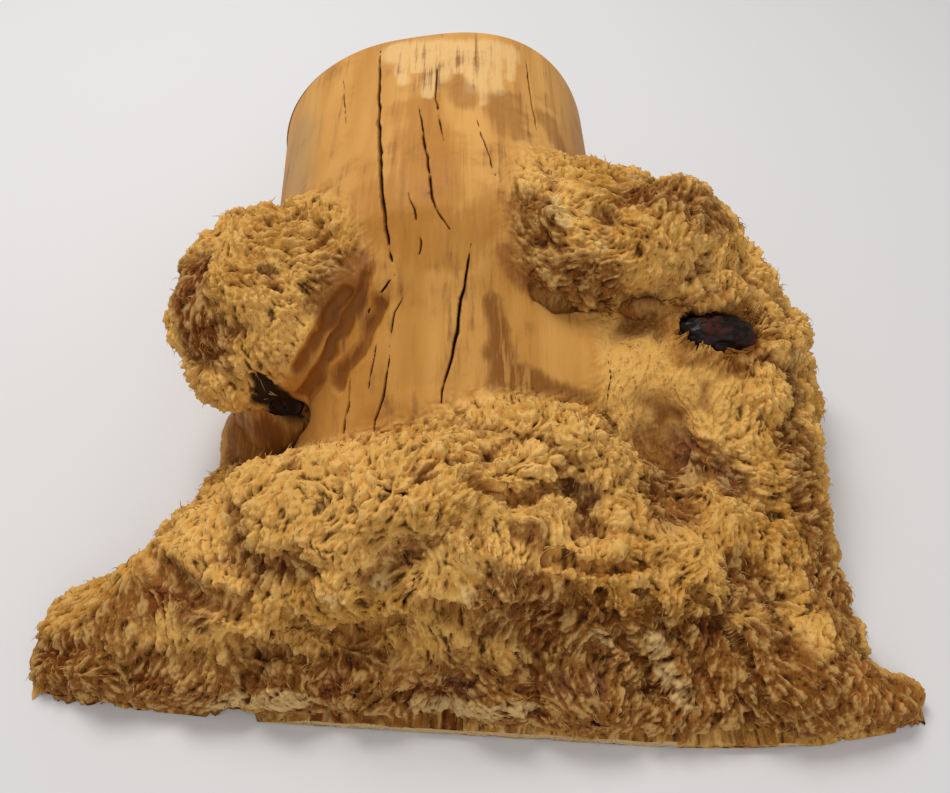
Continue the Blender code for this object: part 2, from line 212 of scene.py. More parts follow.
# Cracks: name, half width and depth in metres, and the pixels of the photo that they run through.
CRACKS = (
    ("main", 0.00054, 0.0050, ((380, 51), (379, 134), (382, 198), (392, 259), (394, 276))),
    ("main_turn", 0.00034, 0.0028, ((394, 276), (388, 283), (369, 310), (370, 327), (364, 343))),
    ("main_tail", 0.00036, 0.0028, ((352, 365), (348, 388), (349, 403), (342, 441))),
    ("second", 0.00034, 0.0030, ((419, 106), (428, 160), (435, 208), (449, 228))),
    ("top", 0.00030, 0.0020, ((437, 53), (436, 100), (443, 140))),
    ("top_right", 0.00038, 0.0030, ((526, 59), (533, 110), (538, 134))),
    ("slant", 0.00026, 0.0014, ((474, 110), (487, 150), (499, 189))),
    ("short", 0.00028, 0.0016, ((409, 193), (421, 241), (418, 264))),
    ("far_left", 0.00024, 0.0014, ((343, 79), (346, 126))),
    ("long", 0.00046, 0.0044, ((471, 245), (462, 303), (452, 355), (441, 391), (440, 403))),
    ("low", 0.00034, 0.0024, ((390, 355), (382, 400), (374, 420), (374, 439))),
    ("low_thin", 0.00025, 0.0014, ((378, 334), (374, 355), (366, 398))),
    ("joining", 0.00026, 0.0015, ((407, 293), (395, 312), (390, 346))),
    ("right", 0.00028, 0.0016, ((607, 348), (611, 380), (605, 417))),
    ("in_burl", 0.00050, 0.0050, ((421, 560), (413, 580), (406, 601), (399, 634))),
    ("low_gap", 0.00080, 0.0060, ((517, 653), (524, 672), (531, 690), (538, 710))),
    ("saddle", 0.00036, 0.0026, ((470, 510), (470, 543))),
)

# Marks on the wood by kind: a radius in photo pixels, and the pixels that the mark runs through.
MARKS = {
    "bark": (
        (15, ((497, 352), (500, 392))), (17, ((516, 378), (560, 396), (588, 410))),
        (9, ((494, 300), (500, 340))),
    ),
    "stain": (
        (20, ((500, 100), (508, 128))), (16, ((455, 84), (462, 100))), (16, ((548, 120), (560, 150))),
    ),
    "amber": (
        # The first amber mark, on the stem's waist where it meets the neck, lays orange tone and painted
        # shade.
        (30, ((372, 196), (400, 236), (452, 240), (486, 216))), (34, ((420, 110), (430, 160), (430, 200))),
        (24, ((352, 296), (326, 346), (302, 388))),
    ),
    "grey": ((26, ((302, 130), (298, 186))),),
    "torn": ((18, ((398, 52), (440, 48), (506, 52))),),
    "rust": (
        (24, ((866, 690), (880, 704))), (12, ((504, 256), (520, 278), (560, 298), (606, 303))),
        (20, ((676, 322), (712, 306), (760, 326), (730, 352), (690, 346))),
    ),
    "plain": ((26, ((350, 290), (322, 350), (302, 394))),),
    "recess": ((22, ((262, 436), (285, 444))),),
    "groove": (
        (11, ((296, 612), (345, 632), (400, 616))), (10, ((430, 610), (470, 622), (516, 612))),
        (6, ((354, 698), (408, 698))), (10, ((150, 560), (190, 596), (244, 606))),
        (9, ((232, 640), (294, 662))), (8, ((536, 290), (570, 306), (607, 302))),
        (6, ((605, 600), (640, 668), (670, 730))), (5, ((640, 590), (690, 660), (716, 720))),
        (5, ((700, 590), (745, 650), (776, 720))), (8, ((466, 470), (520, 494), (570, 486))),
        (9, ((556, 558), (600, 568), (644, 560))),
    ),
    # Umber darkens the wood towards brown; in the valley right of the second mass and along the flutes it
    # is painted shade.
    "umber": (
        (9, ((520, 526), (548, 529))), (46, ((50, 680), (180, 696), (400, 706), (600, 706), (820, 706))),
        (34, ((560, 640), (640, 640), (780, 660))), (28, ((500, 590), (560, 610), (620, 640))),
        (34, ((250, 440), (292, 448))), (26, ((90, 640), (150, 580), (190, 600))),
        (30, ((186, 280), (186, 335))), (26, ((340, 270), (330, 300))),
        (26, ((530, 210), (545, 270), (600, 280))), (24, ((650, 190), (720, 215))),
        (30, ((654, 448), (662, 504))), (24, ((790, 440), (812, 520), (840, 620))),
        (16, ((690, 450), (740, 480))), (34, ((860, 680), (890, 706), (905, 716))),
    ),
    "gold": (
        (46, ((210, 510), (310, 480), (400, 470), (470, 440), (600, 450))), (40, ((520, 540), (600, 520))),
        (48, ((640, 350), (690, 400), (720, 440))), (22, ((210, 360), (240, 390))),
        (24, ((300, 560), (350, 580), (400, 560))),
    ),
    "comb": (
        (34, ((84, 612), (130, 604), (170, 610))), (22, ((300, 500), (330, 530))),
        (26, ((500, 512), (556, 536))), (22, ((690, 520), (730, 536))), (20, ((360, 640), (420, 650))),
    ),
    "calm": ((44, ((640, 336), (640, 380))), (40, ((704, 384), (656, 416))),),
    "bare": (
        (17, ((558, 684), (560, 690))), (15, ((593, 684), (594, 690))), (13, ((455, 688), (468, 692))),
        (11, ((580, 486), (592, 496))), (15, ((676, 440), (690, 470))), (12, ((720, 470), (746, 486))),
        (11, ((792, 360), (800, 400))),
    ),
    "facet": ((30, ((184, 276), (186, 332))),),
    "pale": (
        (13, ((215, 706), (245, 704), (300, 708))), (12, ((425, 712), (470, 716), (530, 720))),
        (10, ((655, 640), (668, 672), (690, 706))), (8, ((600, 636), (612, 644))),
        (8, ((466, 592), (470, 600))), (8, ((380, 585), (384, 590))), (9, ((330, 592), (336, 596))),
        (8, ((556, 200), (562, 222))), (6, ((598, 245), (602, 247))),
    ),
    # The first two dark marks fill the hollow under the left lump with near black, painted shade; the rest
    # mark small dark pits and the gum pocket.
    "dark": (
        (17, ((268, 400), (292, 412))), (9, ((258, 384), (268, 396))), (4, ((597, 720), (600, 722))),
        (1.6, ((384, 488), (392, 490))), (1.6, ((402, 490), (408, 494))),
        (9, ((690, 322), (704, 328), (722, 334), (742, 338))),
    ),
    "blue": ((3, ((148, 688), (152, 692))),),
}

# Grooves of the fluted fold beside the left lump, and the teeth of the torn band by where each ends.
FLUTES = (
    ((371, 274), (352, 312), (330, 354), (306, 398)),
    ((346, 290), (328, 320), (300, 366)),
    ((380, 304), (362, 346), (338, 386)),
)
TEETH = ((402, 82), (416, 70), (430, 94), (444, 80), (458, 72), (470, 90), (484, 102), (498, 92), (511, 78))
TEETH_START, TOOTH_RADIUS, FLUTE_RADIUS, FLUTE_SHADE_RADIUS = 56, 7, 7, 6
MARKS["flute"] = tuple((FLUTE_RADIUS, line) for line in FLUTES)
# Umber along the flute grooves: painted shade.
MARKS["umber"] += tuple((FLUTE_SHADE_RADIUS, line) for line in FLUTES)
MARKS["torn"] += tuple((TOOTH_RADIUS, ((across, TEETH_START), (across, end))) for across, end in TEETH)

# How deep grooves, flutes and dark pits are cut.
GROOVE_DEPTH, FLUTE_DEPTH, DARK_DEPTH = 0.0058, 0.0030, 0.0040

# Lines through photo pixels are followed in steps of this many pixels.
TRAIL_STEP = 5.0
# Edges of marks wander off their lines over this far, by this much. A mark reaches out to this many
# of its radii, and is whole over this share of that reach.
MARK_WANDER_CELL, MARK_WANDER, MARK_SALT = 0.0085, 0.0052, 53
MARK_REACH, MARK_CORE = 1.6, 0.25

# How much of the burl, of its lumps and of its hairs each kind of mark takes away.
LESS_BURL = {"recess": 0.85, "plain": 0.9}
LESS_LUMPY = {"comb": 0.85, "calm": 0.80, "bare": 0.35, "facet": 0.5}
LESS_HAIRY = {"calm": 0.65, "bare": 0.25}
CALM_KNOBS, COMB_KNOBS, LEAST_KNOBS = 0.6, 0.5, 0.2
# Marks that colour the wood under their own names.
SHOWN_MARKS = (
    "bare", "pale", "dark", "blue", "stain", "bark", "grey", "torn", "umber", "facet", "gold", "amber",
)
# Grooves take this share of the warm orange-brown: painted shade in the creases between tiers, over brown
# tone.
GROOVE_WARMTH = 0.7

# The skin is cut into pieces by these boxes in plan: name, least X, most X, least Y and most Y.
REGIONS = (
    ("front_left_skin", -0.300, -0.078, -0.100, 0.112),
    ("front_middle_skin", -0.078, -0.008, -0.100, 0.112),
    ("front_centre_skin", -0.008, 0.062, -0.100, 0.112),
    ("front_right_skin", 0.062, 0.300, -0.100, 0.090),
    ("right_side_skin", 0.055, 0.300, 0.090, 0.160),
    ("left_lump_skin", -0.300, -0.030, 0.112, 0.260),
    ("right_lump_skin", -0.030, 0.300, 0.112, 0.300),
)
# Skin with less burl than this belongs to the stem.
STEM_BURL = 0.20

# Dried gum: where it is seen, its radii, and how far it is sunk back and down into its pocket's wall.
RESIN_PIXEL = (716, 333)
RESIN_RADII = (0.0160, 0.0088, 0.0078)
RESIN_SINK = np.array((0, 0.0030, -0.0036))
RESIN_FINENESS, RESIN_FULL = 5, 1.28
RESIN_LUMP_CELL, RESIN_LUMP, RESIN_LUMP_SALT = 0.42, 0.34, 43
RESIN_SWELL_CELL, RESIN_SWELL, RESIN_SWELL_SALT = 0.95, 0.40, 47

# Loose fibres: where they root, how they stand, stray and bend, and how thin they are.
FIBRE_COUNT, FIBRE_SEED = 3000, 41
FIBRE_BURL, FIBRE_TIP, FIBRE_LOW = 0.7, 0.45, 0.006
FIBRE_SHORT, FIBRE_LONG, FIBRE_STRAY = 0.0025, 0.0062, 0.45
FIBRE_LIE, FIBRE_STAND, FIBRE_CURL, FIBRE_DROOP = 0.7, 0.75, 0.8, 0.5
FIBRE_RADIUS, FIBRE_TAPER, FIBRE_ROOT = 0.00026, 0.75, 0.0004
FIBRE_RINGS, FIBRE_SIDES = 4, 3

# Stage: the floor, and each light's place, size, power and tint.
FLOOR_HALF, FLOOR_DROP, FLOOR_TINT, FLOOR_ROUGHNESS = 3.0, 0.0004, (0.72, 0.72, 0.74, 1), 0.9
LIGHTS = (
    ("key", (-0.35, 0.55, 1.25), 0.55, 12.0, (1.0, 0.97, 0.93)),
    ("front_fill", (0.30, -1.20, 0.90), 1.1, 5.0, (1.0, 0.99, 0.97)),
)
LIGHT_AIM = Vector((0, 0, 0.04))
STUDIO_TINT, STUDIO_STRENGTH = (1.0, 0.99, 0.97, 1), 0.40
CLIP_START = 0.01


# Noise and hashes

def hash_cells(cells, salt, count=3):
    """That many numbers from 0 to 1 for each whole-numbered cell, always the same for that cell."""
    a = cells.astype(np.int64)
    code = a[:, 0] * HASH_X ^ a[:, 1] * HASH_Y ^ a[:, 2] * HASH_Z ^ (salt * HASH_SALT)
    out = []
    for turn in range(count):
        code = (code * HASH_TIMES + HASH_PLUS + turn) & HASH_MOST
        out.append(((code >> HASH_DROP) & (HASH_RANGE - 1)) / HASH_RANGE)
    return np.stack(out, axis=1)


def neighbours():
    return [(x, y, z) for x in (-1, 0, 1) for y in (-1, 0, 1) for z in (-1, 0, 1)]


def seed_distance(points, cell, salt):
    """Distance from each point to the nearest of the scattered knob seeds, in cells."""
    return stretched_seeds(points, np.zeros(3), cell, 1, salt)[0]


def stretched_seeds(points, flow, cell, stretch, salt):
    """Distances to the nearest seed and the next one, in cells, with seeds drawn out along the flow."""
    scaled = points / cell
    home = np.floor(scaled)
    nearest = np.full(len(points), FAR)
    second = np.full(len(points), FAR)
    for step in neighbours():
        cells = home + step
        away = cells + hash_cells(cells, salt) - scaled
        along = (away * flow).sum(axis=1)
        across = np.maximum((away * away).sum(axis=1) - along * along, 0)
        gap = np.sqrt(across + np.square(along / stretch))
        second = np.minimum(second, np.maximum(nearest, gap))
        nearest = np.minimum(nearest, gap)
    return nearest, second


def swell(points, cell, salt):
    """Smooth noise from 0 to 1 that changes over about one cell."""
    return drift(points, cell, salt, 1)[:, 0]


def drift(points, cell, salt, count):
    """That many smooth noises from 0 to 1."""
    scaled = points / cell
    home = np.floor(scaled)
    part = scaled - home
    ease = part * part * (3 - 2 * part)
    total = np.zeros((len(points), count))
    for corner in np.ndindex(2, 2, 2):
        side = [ease[:, i] if corner[i] else 1 - ease[:, i] for i in range(3)]
        share = side[0] * side[1] * side[2]
        total += share[:, None] * hash_cells(home + corner, salt, count)
    return total


def wandered(points, cell, amount, salt):
    """The points shifted by smooth noise, by up to half the amount each way."""
    return points + (drift(points, cell, salt, 3) - 0.5) * amount


def smeared(points, flow, cell, reach, salt):
    """Noise from 0 to 1 drawn out along the flow, so that it reads as fibres."""
    total = np.zeros(len(points))
    for step in np.linspace(-1, 1, SMEARS):
        total += swell(points + flow * (reach * step), cell, salt)
    return np.clip(0.5 + SMEAR_CONTRAST * (total / SMEARS - 0.5), 0, 1)


def smooth(value, start, end):
    """0 before start, 1 after end, and an even ease between them."""
    share = np.clip((value - start) / (end - start), 0, 1)
    return share * share * (3 - 2 * share)


def domes(points, flow, cell, stretch, salt, seam, seam_width):
    """Rounded lumps from 0 to 1, each parted from the next by a seam."""
    near, second = stretched_seeds(points, flow, cell, stretch, salt)
    return np.clip(1 - near**2, 0, 1) * (seam + (1 - seam) * smooth(second - near, 0.0, seam_width))


def unit(vectors):
    return vectors / np.maximum(np.linalg.norm(vectors, axis=1), TINY)[:, None]


# The blended form

def blob_gap(points, centre, radii, turn):
    local = (points - centre) @ np.array(Matrix.Rotation(math.radians(turn), 3, "Z"))
    scaled = np.linalg.norm(local / radii, axis=1)
    slope = np.linalg.norm(local / np.square(radii), axis=1) + TINY
    return scaled * (scaled - 1) / slope


def limb_gap(points, start, start_radius, end, end_radius):
    axis = np.subtract(end, start)
    along = np.clip((points - start) @ axis / (axis @ axis), 0, 1)
    radius = start_radius + (end_radius - start_radius) * along
    return np.linalg.norm(points - start - along[:, None] * axis, axis=1) - radius


def stem_gap(points):
    start, end = np.array(STEM_FRONT), np.array(STEM_BACK)
    axis = (end - start) / np.linalg.norm(end - start)
    away = points - start
    along = away @ axis
    side = away - along[:, None] * axis
    side[:, 2] /= STEM_FLATTEN
    share = np.clip(along / np.linalg.norm(end - start), 0, 1)
    radius = STEM_HALF_WIDTH_FRONT + (STEM_HALF_WIDTH_BACK - STEM_HALF_WIDTH_FRONT) * share
    out = np.linalg.norm(side, axis=1) - radius + STEM_BROW
    past = np.maximum(-along, along - np.linalg.norm(end - start)) + STEM_BROW
    outside = np.hypot(np.maximum(out, 0), np.maximum(past, 0))
    return np.minimum(np.maximum(out, past), 0) + outside - STEM_BROW


def join(one, other, blend):
    """The two distances as one, with the crease between them rounded over the blend width."""
    share = np.clip(0.5 + 0.5 * (one - other) / blend, 0, 1)
    return one * (1 - share) + other * share - blend * share * (1 - share)


def form(points):
    """Signed distance to the form, and how much of it there is burl."""
    gap = stem_gap(points)
    gaps, rough = [gap], [0.0]
    for _, centre, radii, turn, roughness, blend in BLOBS:
        gaps.append(blob_gap(points, np.array(centre), np.array(radii), turn))
        rough.append(roughness)
        gap = join(gap, gaps[-1], blend)
    for _, start, start_radius, end, end_radius, roughness, blend in LIMBS:
        gaps.append(limb_gap(points, np.array(start), start_radius, np.array(end), end_radius))
        rough.append(roughness)
        gap = join(gap, gaps[-1], blend)
    share = np.exp(-(np.array(gaps) - np.min(gaps, axis=0)) / ROUGH_FADE)
    burl = (share * np.array(rough)[:, None]).sum(axis=0) / share.sum(axis=0)
    for _, centre, radii, turn, blend, calm in HOLLOWS:
        hollow = blob_gap(points, np.array(centre), np.array(radii), turn)
        gap = -join(-gap, hollow, blend)
        burl *= np.clip(hollow / calm, 0, 1)
    return gap, burl


def slope_of(points):
    """Gradient of the form, worked out by small steps each way."""
    slope = np.empty_like(points)
    for i in range(3):
        step = np.zeros(3)
        step[i] = GRADIENT_STEP
        slope[:, i] = form(points + step)[0] - form(points - step)[0]
    return slope / (2 * GRADIENT_STEP)


def land(points):
    """The points moved onto the form's surface."""
    for _ in range(LANDINGS):
        slope = slope_of(points)
        steep = np.maximum((slope * slope).sum(axis=1), LEAST_STEEPNESS)
        points = points - slope * (form(points)[0] / steep)[:, None]
    return points


# Saw cuts

def front_line(x):
    return np.interp(x, [p[0] for p in FRONT_SAW], [p[1] for p in FRONT_SAW])


def back_plane():
    """A point on the stem's sawn end, and the way that it faces."""
    turn = Matrix.Rotation(STEM_SAWN_LEAN, 3, "X")
    return np.array((0, STEM_SAWN_Y, 0)), np.array(turn @ Vector((0, 1, 0)))


def sawn(points):
    """The points with all that lies under the base or past the stem's end pressed flat onto it."""
    points = points.copy()
    points[:, 2] = np.maximum(points[:, 2], 0)
    place, facing = back_plane()
    beyond = np.maximum((points - place) @ facing, 0)
    return points - beyond[:, None] * facing


# Meshes as arrays

def add_ball(bm, centre, radii, turn=0):
    place = Matrix.Translation(centre) @ Matrix.Rotation(math.radians(turn), 4, "Z")
    place = place @ Matrix.Diagonal((*radii, 1))
    bmesh.ops.create_icosphere(bm, subdivisions=BALL_FINENESS, radius=1, matrix=place)


def add_cone(bm, start, start_radius, end, end_radius, sides, flatten=1):
    start, end = Vector(start), Vector(end)
    away = end - start
    turn = away.to_track_quat("Z", "Y").to_matrix().to_4x4()
    place = Matrix.Translation((start + end) / 2) @ Matrix.Diagonal((1, 1, flatten, 1)) @ turn
    bmesh.ops.create_cone(
        bm, cap_ends=True, segments=sides, radius1=start_radius, radius2=end_radius,
        depth=away.length, matrix=place,
    )


def rough_out():
    """One mesh holding a ball for each blob, a rounded cone for each limb, and the stem's log."""
    bm = bmesh.new()
    for _, centre, radii, turn, _, _ in BLOBS:
        add_ball(bm, centre, radii, turn)
    for _, start, start_radius, end, end_radius, _, _ in LIMBS:
        add_cone(bm, start, start_radius, end, end_radius, LIMB_SIDES)
        add_ball(bm, start, (start_radius,) * 3)
        add_ball(bm, end, (end_radius,) * 3)
    add_cone(
        bm, STEM_FRONT, STEM_HALF_WIDTH_FRONT, STEM_BACK, STEM_HALF_WIDTH_BACK, STEM_SIDES, STEM_FLATTEN,
    )
    mesh = bpy.data.meshes.new("rough")
    bm.to_mesh(mesh)
    bm.free()
    return mesh


def one_skin(mesh):
    """Points and triangles of one closed skin over everything in the mesh."""
    obj = linked("rough", mesh)
    skin = obj.modifiers.new("skin", "REMESH")
    skin.mode = "VOXEL"
    skin.voxel_size = VOXEL
    bpy.context.view_layer.update()
    made = obj.evaluated_get(bpy.context.evaluated_depsgraph_get()).to_mesh()
    made.calc_loop_triangles()
    points = np.empty(len(made.vertices) * 3)
    made.vertices.foreach_get("co", points)
    faces = np.empty(len(made.loop_triangles) * 3, dtype=np.int32)
    made.loop_triangles.foreach_get("vertices", faces)
    bpy.data.objects.remove(obj)
    return points.reshape(-1, 3), faces.reshape(-1, 3).astype(np.int64)


def split_edges(points, faces, carried, pick):
    """Splits the edges whose middles are picked, and the triangles beside them to match."""
    sides = np.stack([faces, np.roll(faces, -1, axis=1)], axis=2)
    keys = sides.min(axis=2) * len(points) + sides.max(axis=2)
    keys, where = np.unique(keys.ravel(), return_inverse=True)
    one, other = keys // len(points), keys % len(points)
    middles = (points[one] + points[other]) / 2
    values = (carried[one] + carried[other]) / 2
    chosen = pick(middles, values)
    number = np.full(len(keys), -1)
    number[chosen] = len(points) + np.arange(chosen.sum())
    new = number[where].reshape(-1, 3)
    count = (new >= 0).sum(axis=1)
    made = [faces[count == 0]]
    a, b, c = faces[count == 3].T
    ab, bc, ca = new[count == 3].T
    made += [np.stack(t, axis=1) for t in ((a, ab, ca), (ab, b, bc), (ca, bc, c), (ab, bc, ca))]
    single = count == 1
    (a, b, c), (ab, _, _) = turned(faces[single], new[single], np.argmax(new[single] >= 0, axis=1))
    made += [np.stack(t, axis=1) for t in ((a, ab, c), (ab, b, c))]
    double = count == 2
    whole = np.argmin(new[double] >= 0, axis=1)
    (a, b, c), (ab, bc, _) = turned(faces[double], new[double], (whole + 1) % 3)
    made += [np.stack(t, axis=1) for t in ((ab, b, bc), (a, ab, bc), (a, bc, c))]
    points = np.vstack([points, middles[chosen]])
    carried = np.vstack([carried, values[chosen]])
    return points, np.vstack(made), carried


def turned(faces, new, first):
    """Columns of both arrays, each row turned so that it starts at its first side."""
    order = (first[:, None] + np.arange(3)) % 3
    return np.take_along_axis(faces, order, axis=1).T, np.take_along_axis(new, order, axis=1).T


def face_crosses(points, faces):
    a, b, c = (points[faces[:, i]] for i in range(3))
    return np.cross(b - a, c - a)


def gathered(faces, values, count):
    """For each point, the sum of the values of the faces round it."""
    columns = []
    for i in range(values.shape[1]):
        columns.append(sum(np.bincount(faces[:, k], values[:, i], count) for k in range(3)))
    return np.stack(columns, axis=1)


def point_normals(points, faces):
    return unit(gathered(faces, face_crosses(points, faces), len(points)))


def softened(values, faces, rounds):
    """Values at points, evened out with their neighbours that many times."""
    shares = np.bincount(faces.ravel(), minlength=len(values))[:, None]
    for _ in range(rounds):
        values = gathered(faces, values[faces].mean(axis=1), len(values)) / np.maximum(shares, 1)
    return values


# Places seen in the photograph

def seen(tree, pixel):
    """Where the sight line through this pixel of the photo first meets the wood."""
    right = (pixel[0] - PHOTO_WIDTH / 2) / FOCAL_PIXELS
    up = (PHOTO_HEIGHT / 2 - pixel[1]) / FOCAL_PIXELS
    ray = Vector((right, up, -1))
    ray.rotate(Euler((CAMERA_TILT, 0, 0)))
    hit = tree.ray_cast(CAMERA_PLACE, ray)[0]
    if hit is None:
        hit = tree.find_nearest(CAMERA_PLACE + ray.normalized() * USUAL_SIGHT)[0]
    return np.array(hit)


def trail(tree, pixels):
    """Points on the wood, close together, under a line drawn through these pixels."""
    marks = []
    for start, end in zip(pixels, pixels[1:]):
        start, end = np.array(start, float), np.array(end, float)
        steps = max(1, round(np.linalg.norm(end - start) / TRAIL_STEP))
        marks += [start + (end - start) * i / steps for i in range(steps)]
    marks.append(np.array(pixels[-1], float))
    return np.array([seen(tree, mark) for mark in marks])


def trail_distance(points, line, reach):
    """Distance to the line and the share of it passed there, far off where beyond the reach."""
    distance = np.full(len(points), FAR)
    passed = np.zeros(len(points))
    near = np.all((points > line.min(axis=0) - reach) & (points < line.max(axis=0) + reach), axis=1)
    nearby = np.flatnonzero(near)
    for i in range(len(line) - 1):
        low = np.minimum(line[i], line[i + 1]) - reach
        high = np.maximum(line[i], line[i + 1]) + reach
        close = nearby[np.all((points[nearby] > low) & (points[nearby] < high), axis=1)]
        step = line[i + 1] - line[i]
        along = np.clip((points[close] - line[i]) @ step / max(step @ step, NOTHING), 0, 1)
        gap = np.linalg.norm(points[close] - line[i] - along[:, None] * step, axis=1)
        better = gap < distance[close]
        distance[close[better]] = gap[better]
        passed[close[better]] = (i + along[better]) / (len(line) - 1)
    return distance, passed


def mark_weights(points, tree):
    """For each kind of mark, how strongly it lies on each point, from 0 to 1."""
    weights = {}
    shifted = wandered(points, MARK_WANDER_CELL, MARK_WANDER, MARK_SALT)
    for kind, rows in MARKS.items():
        weight = np.zeros(len(points))
        for radius, pixels in rows:
            line = trail(tree, pixels)
            sight = np.linalg.norm(line.mean(axis=0) - CAMERA_POINT)
            reach = MARK_REACH * radius * sight / FOCAL_PIXELS
            distance = trail_distance(shifted, line, reach)[0]
            weight = np.maximum(weight, 1 - smooth(distance / reach, MARK_CORE, 1.0))
        weights[kind] = weight
    return weights


def held_down(value, marks, shares):
    """The value, taken down by up to its share where each of these kinds of mark lies."""
    for kind, share in shares.items():
        value = value * (1 - share * marks[kind])
    return value


def crack_depths(points, lines):
    """How deep each point lies in a crack, and from 0 to 1 how near it is to one."""
    shifted = wandered(points, CRACK_WANDER_CELL, CRACK_WANDER, CRACK_SALT)
    depth = np.zeros(len(points))
    shade = np.zeros(len(points))
    for (_, half_width, deepest, _), line in zip(CRACKS, lines):
        distance, passed = trail_distance(shifted, line, CRACK_BAND)
        taper = np.sqrt(np.clip(np.sin(math.pi * np.clip(passed, CRACK_END, 1 - CRACK_END)), 0, 1))
        width = half_width * (CRACK_LEAST + CRACK_MORE * taper)
        depth = np.maximum(depth, deepest * taper * (1 - smooth(distance / width, *CRACK_WALL)))
        shade = np.maximum(shade, 1 - smooth(distance / width, *CRACK_SHADE))
    return depth, shade


# The skin of the whole cap

def grow_skin():
    """The smooth form in fine triangles, with its normals and how much is burl, before any relief."""
    points, faces = one_skin(rough_out())
    points = land(points)
    normals = point_normals(points, faces)
    burl = form(points)[1]
    tree = BVHTree.FromPolygons(points.tolist(), faces.tolist())
    lines = [trail(tree, pixels) for _, _, _, pixels in CRACKS]
    points = sawn(points)
    inside = np.clip(1 + form(points)[0] / SKIN_DEPTH, 0, 1)
    carried = np.column_stack([normals, burl, inside])

    def free(middles, values):
        return (values[:, 4] > FREE_SHARE) & (middles[:, 2] > 0)

    def near_crack(middles, band):
        near = [trail_distance(middles, line, band)[0] < band for line in lines]
        return np.any(near, axis=0)

    def on_burl(middles, values):
        sight = CAMERA_POINT - middles
        shown = (values[:, :3] * sight).sum(axis=1) > FACING
        burly = values[:, 3] > BURL_SHARE
        return free(middles, values) & burly & shown | near_crack(middles, CRACK_BAND)

    def at_crack(middles, values):
        return near_crack(middles, CRACK_EDGE)

    for pick in (free, on_burl, at_crack):
        points, faces, carried = split_edges(points, faces, carried, pick)
    return points, faces, carried, tree, lines


def strip_height(x, points):
    """How high the clean sawn strip stands at each place along the front."""
    share = smooth(x, STRIP_START, STRIP_START + STRIP_FADE)
    share = share * (1 - smooth(x, STRIP_END - STRIP_FADE, STRIP_END))
    uneven = swell(points * (1, 0, 0), STRIP_CELL, STRIP_SALT)
    return STRIP_HEIGHT * share * (STRIP_LEAST + STRIP_MORE * uneven)


def coarse_relief(points, knob, rough, inside, marks):
    """How far knobs and swells raise each point, and grooves, pits and flutes sink it."""
    calm = 1 - CALM_KNOBS * marks["calm"] - COMB_KNOBS * marks["comb"]
    height = KNOB_HEIGHT * (KNOB_MIDDLE - knob**2)
    height += SWELL_HEIGHT * (swell(points, SWELL_CELL, SWELL_SALT) - 0.5)
    height = height * rough * np.clip(calm, LEAST_KNOBS, 1)
    height -= GROOVE_DEPTH * marks["groove"] * inside + DARK_DEPTH * marks["dark"] * inside
    return height - FLUTE_DEPTH * marks["flute"] * inside


def fibre_flow(points, normals):
    """The way that fibres lie along the surface at each point."""
    swirl = (drift(points, SWIRL_CELL, SWIRL_SALT, 3) - 0.5) * 2
    flow = DOWNHILL + swirl * SWIRL_SHARE * 2
    return unit(flow - normals * (flow * normals).sum(axis=1)[:, None])


def fine_relief(points, normals, flow, rough, marks):
    """How nodules, grains, tufts and hairs move each point, and how near a tip it is, from 0 to 1."""
    shifted = wandered(points, WANDER_CELL, WANDER, WANDER_SALT)
    nodule = domes(
        shifted, flow, NODULE_CELL, NODULE_STRETCH, NODULE_SALT, NODULE_SEAM, NODULE_SEAM_WIDTH,
    )
    grain = domes(points, flow, GRAIN_CELL, GRAIN_STRETCH, GRAIN_SALT, GRAIN_SEAM, GRAIN_SEAM_WIDTH)
    tuft = smeared(points, flow, TUFT_CELL, TUFT_REACH, TUFT_SALT)
    hair = smeared(points, flow, HAIR_CELL, HAIR_REACH, HAIR_SALT)
    felt = smooth(swell(points, FELT_CELL, FELT_SALT), FELT_START, FELT_END)
    lumpy = held_down(rough, marks, LESS_LUMPY) * (1 - FELT_SMOOTH * felt)
    hairy = held_down(rough, marks, LESS_HAIRY)
    rise = (NODULE_HEIGHT * nodule + GRAIN_HEIGHT * grain) * lumpy
    rise += (TUFT_HEIGHT * tuft + HAIR_HEIGHT * hair) * hairy
    rise -= FINE_SINK * rough
    lean = LEAN * hairy * smooth(nodule + LEAN_TUFT * tuft, LEAN_START, LEAN_END)
    moved = normals * rise[:, None] + flow * (np.maximum(rise, 0) * lean)[:, None]
    tip = TIP_NODULE * nodule + TIP_GRAIN * grain + TIP_TUFT * tuft + TIP_HAIR * hair - TIP_DROP
    tip = np.clip(tip, 0, 1)
    return moved, tip + (CALM_TIP - tip) * CALM_SHARE * marks["calm"]


def saw_front(points, normals):
    """The points with the front held behind the saw line, and the clean strip flat on it."""
    wall = front_line(points[:, 0])
    behind = (points[:, 1] - wall) / SETBACK
    held = wall + SETBACK * np.logaddexp(0, np.clip(behind, -SETBACK_MOST, SETBACK_MOST))
    points[:, 1] = np.where(behind < SETBACK_REACH, held, points[:, 1])
    strip = smooth(strip_height(points[:, 0], points) - points[:, 2], *STRIP_EDGE)
    at_front = strip * (points[:, 1] < wall + STRIP_REACH) * (normals[:, 1] < STRIP_FACING)
    points[:, 1] += (wall - points[:, 1]) * at_front
    return points


def in_box(points):
    """The points, kept inside the CAD model's box."""
    return np.clip(points, ORIGIN_POINT + CAD_LOW, ORIGIN_POINT + CAD_HIGH)


